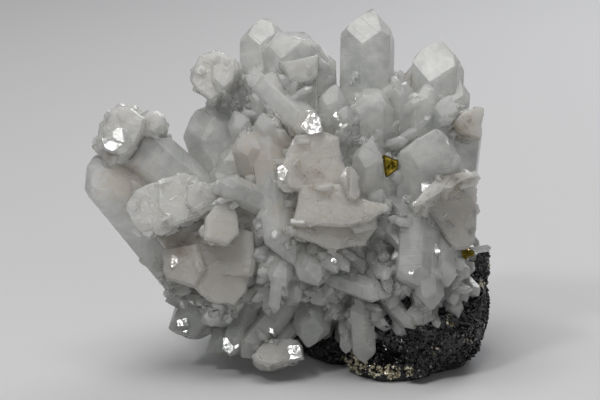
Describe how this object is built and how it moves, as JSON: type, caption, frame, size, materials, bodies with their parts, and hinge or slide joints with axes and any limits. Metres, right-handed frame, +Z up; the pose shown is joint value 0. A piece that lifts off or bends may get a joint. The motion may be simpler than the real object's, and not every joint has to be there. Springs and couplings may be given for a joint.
{
  "type": "quartz crystal cluster with calcite and chalcopyrite",
  "caption": "Natural cluster of milky quartz prisms with beige calcite plates and a chalcopyrite crystal on black ore, resting on a small flat spot.",
  "frame": {"origin": "on the flat underside, near its middle", "axes": "+Z up; +X to the specimen's right as seen from the front; -Y towards the viewer"},
  "size_m": [0.1203, 0.0738, 0.1052],
  "materials": {
    "quartz": "milky, translucent, glossy crystal faces",
    "black_ore": "black, sparkling, broken metallic faces",
    "pale_calcite": "white, pearly cleavage faces",
    "beige_calcite": "beige with brown specks, satin to pearly",
    "chalcopyrite": "brassy, slightly tarnished metal"
  },
  "bodies": {
    "root": {"quartz_cluster": "quartz", "matrix": "black_ore", "calcite_left_cap": "pale_calcite", "calcite_left_blades": "pale_calcite", "calcite_lower_left": "beige_calcite", "calcite_center": "beige_calcite", "calcite_right_ledge": "beige_calcite", "calcite_right_corner": "beige_calcite", "calcite_top_knob": "pale_calcite", "calcite_top_plate": "pale_calcite", "calcite_flake": "pale_calcite", "chalcopyrite_crystal": "chalcopyrite", "chalcopyrite_grain": "chalcopyrite"}
  },
  "joints": []
}
